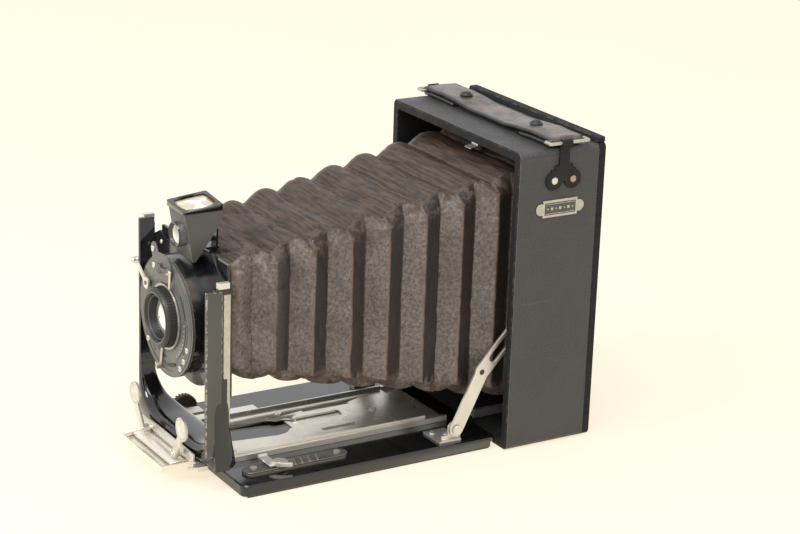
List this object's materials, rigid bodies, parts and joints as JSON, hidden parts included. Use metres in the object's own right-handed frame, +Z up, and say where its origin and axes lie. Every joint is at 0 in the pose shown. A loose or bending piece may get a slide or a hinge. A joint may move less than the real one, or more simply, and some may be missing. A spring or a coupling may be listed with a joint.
{
  "type": "folding plate camera",
  "caption": "Folding plate camera: leathered box body with a drop bed, racked rail, sliding lens standard, tapered bellows, dial-set shutter and reflex finder.",
  "frame": {"origin": "centre of the underside of the body, on the surface it stands on", "axes": "+Z up, +Y towards the back of the camera, the lens faces -Y, +X is to the right seen from the front"},
  "size_m": [0.131, 0.2384, 0.1668],
  "materials": {
    "black_wood": "matt black",
    "leatherette": "fine grain, worn at the edges",
    "black_lacquer": "gloss black lacquer",
    "black_metal": "satin black",
    "shutter_grey": "satin dark grey",
    "scale_enamel": "worn dark enamel over nickel",
    "nickel": "worn warm nickel plate",
    "knob_bronze": "tarnished dark bronze",
    "bellows_leather": "worn dark brown pleated leather",
    "strap_leather": "polished worn brown leather",
    "frosted_glass": "ground",
    "lens_glass": "clear polished"
  },
  "bodies": {
    "body": {"case_shell": "black_wood", "case_leather": "leatherette", "back_plate": "black_wood", "holder_channel": "black_metal", "carrying_strap": "strap_leather", "strap_snaps": "black_metal", "strap_loops": "nickel", "strap_brackets": "black_lacquer", "strap_rivets": "nickel", "side_nameplate": "nickel", "tripod_bushes": "nickel", "body_rails": "nickel", "strut_studs": "nickel", "bellows_hook": "nickel", "hinge_leaf_body": "nickel", "hinge_pin": "nickel", "bellows_rear": "bellows_leather"},
    "focusing_back": {"focusing_back": "black_metal", "ground_glass": "frosted_glass", "hood_hinge_pin": "nickel"},
    "hood": {"hood_lid": "black_metal"},
    "bed": {"drop_bed": "black_lacquer", "bed_leather": "leatherette", "hinge_leaf_bed": "nickel", "bed_bush": "nickel", "fixed_track": "nickel", "strut_feet": "nickel", "bed_screws": "nickel", "distance_scale": "scale_enamel", "pinion_bearing": "nickel", "bellows_middle": "bellows_leather"},
    "focus_catch": {"focus_catch": "nickel"},
    "strut_left": {"strut_left": "nickel"},
    "strut_right": {"strut_right": "nickel"},
    "focus_knob": {"focus_knob": "knob_bronze", "pinion_shaft": "nickel"},
    "rail": {"sliding_rail": "nickel", "rail_screws": "nickel", "bellows_front": "bellows_leather"},
    "carriage": {"carriage_base": "nickel", "carriage_plates": "nickel", "lens_standard": "black_lacquer", "standard_clips": "nickel"},
    "grip_left": {"grip_left": "nickel"},
    "grip_right": {"grip_right": "nickel"},
    "lens_board": {"lens_panel": "black_lacquer", "finder_bracket": "black_lacquer", "bellows_front_frame": "black_lacquer", "shutter_case": "black_lacquer", "shutter_face": "shutter_grey", "shutter_screws": "nickel", "front_cell": "black_metal", "front_glass": "lens_glass", "rear_cell": "black_metal", "iris_blades": "black_metal"},
    "speed_lever": {"speed_lever": "nickel"},
    "aperture_lever": {"aperture_lever": "nickel"},
    "cocking_lever": {"cocking_lever": "nickel"},
    "release_lever": {"release_lever": "nickel"},
    "finder": {"finder": "black_lacquer"}
  },
  "joints": [
    {"name": "bed_fold", "type": "hinge", "parent": "body", "child": "bed", "pos_m": [0, -0.0289, 0.0022], "axis": [-1, 0, 0], "range_deg": [0, 20], "deforming": ["bellows_rear"]},
    {"name": "strut_left_pivot", "type": "hinge", "parent": "bed", "child": "strut_left", "pos_m": [-0.052, -0.0511, 0.0134], "axis": [-1, 0, 0], "range_deg": [-19, 0.1]},
    {"name": "strut_right_pivot", "type": "hinge", "parent": "bed", "child": "strut_right", "pos_m": [0.052, -0.0511, 0.0134], "axis": [-1, 0, 0], "range_deg": [-19, 0.1]},
    {"name": "focus_catch_swing", "type": "hinge", "parent": "bed", "child": "focus_catch", "pos_m": [0.0405, -0.1475, 0.0093], "axis": [0, 0, 1], "range_deg": [0, 25]},
    {"name": "rail_rack", "type": "slide", "parent": "bed", "child": "rail", "axis": [0, -1, 0], "range_m": [-0.022, 0], "deforming": ["bellows_middle"]},
    {"name": "knob_turn", "type": "hinge", "parent": "bed", "child": "focus_knob", "pos_m": [-0.049, -0.1575, 0.0079], "axis": [1, 0, 0], "range_deg": [-640, 10]},
    {"name": "standard_slide", "type": "slide", "parent": "rail", "child": "carriage", "axis": [0, -1, 0], "range_m": [-0.04, 0], "deforming": ["bellows_front"]},
    {"name": "grip_left_pinch", "type": "hinge", "parent": "carriage", "child": "grip_left", "pos_m": [-0.018, -0.1945, 0.0144], "axis": [0, 1, 0], "range_deg": [0, 12], "stiffness_Nm_per_rad": 0.15, "springref_deg": -5.73},
    {"name": "grip_right_pinch", "type": "hinge", "parent": "carriage", "child": "grip_right", "pos_m": [0.018, -0.1945, 0.0144], "axis": [0, -1, 0], "range_deg": [0, 12], "stiffness_Nm_per_rad": 0.15, "springref_deg": -5.73},
    {"name": "lens_rise", "type": "slide", "parent": "carriage", "child": "lens_board", "axis": [0, 0, 1], "range_m": [0, 0.01]},
    {"name": "speed_set", "type": "hinge", "parent": "lens_board", "child": "speed_lever", "pos_m": [-0.004, -0.1925, 0.104], "axis": [0, -1, 0], "range_deg": [0, 40]},
    {"name": "aperture_set", "type": "hinge", "parent": "lens_board", "child": "aperture_lever", "pos_m": [0, -0.191, 0.0799], "axis": [0, 1, 0], "range_deg": [-24, 24]},
    {"name": "cocking_press", "type": "hinge", "parent": "lens_board", "child": "cocking_lever", "pos_m": [-0.0194, -0.1922, 0.0917], "axis": [0, -1, 0], "range_deg": [0, 50], "stiffness_Nm_per_rad": 0.01, "springref_deg": -17.19},
    {"name": "release_press", "type": "hinge", "parent": "lens_board", "child": "release_lever", "pos_m": [-0.021, -0.1865, 0.083], "axis": [0, -1, 0], "range_deg": [0, 8], "stiffness_Nm_per_rad": 0.02, "springref_deg": -17.19},
    {"name": "finder_swing", "type": "hinge", "parent": "lens_board", "child": "finder", "pos_m": [0.0096, -0.1705, 0.134], "axis": [0, 1, 0], "range_deg": [0, 90]},
    {"name": "back_slide", "type": "slide", "parent": "body", "child": "focusing_back", "axis": [0, 0, 1], "range_m": [0, 0.14]},
    {"name": "hood_open", "type": "hinge", "parent": "focusing_back", "child": "hood", "pos_m": [0, 0.0325, 0.1425], "axis": [1, 0, 0], "range_deg": [0, 90]}
  ],
  "couplings": [
    {"joint": "strut_left_pivot", "follows": "bed_fold", "ratio": -0.93},
    {"joint": "strut_right_pivot", "follows": "bed_fold", "ratio": -0.93},
    {"joint": "knob_turn", "follows": "rail_rack", "rad_per_m": 476.19}
  ]
}
